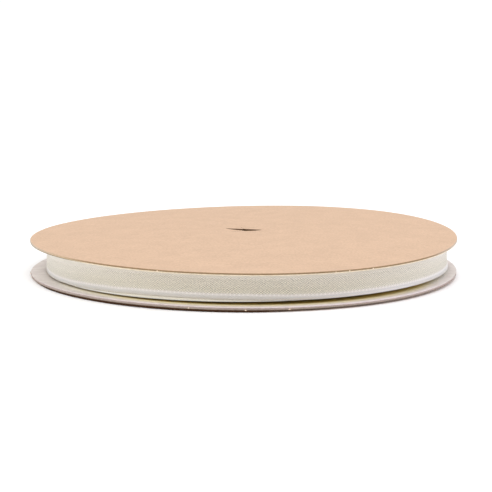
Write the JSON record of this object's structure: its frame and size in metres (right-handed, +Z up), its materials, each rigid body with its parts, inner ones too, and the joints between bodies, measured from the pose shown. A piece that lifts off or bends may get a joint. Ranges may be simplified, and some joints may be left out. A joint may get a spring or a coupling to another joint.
{
  "type": "roll of organza ribbon on a card spool",
  "caption": "Narrow sheer ribbon with dense woven edges, wound flat between two round card discs whose middles have a die-cut star.",
  "frame": {"origin": "on the surface that the spool rests on, under the middle of the discs", "axes": "+Z up along the spool's axis; the pictured front is -Y"},
  "size_m": [0.125, 0.125, 0.0124],
  "materials": {
    "kraft_card": "matt kraft liner on grey board",
    "sheer_ribbon": "sheer plain weave with a soft sheen, denser satin edges",
    "grey_card": "matt uncoated grey board"
  },
  "bodies": {
    "root": {"flange_top": "kraft_card", "ribbon_roll": "sheer_ribbon", "flange_bottom": "grey_card"}
  },
  "joints": []
}
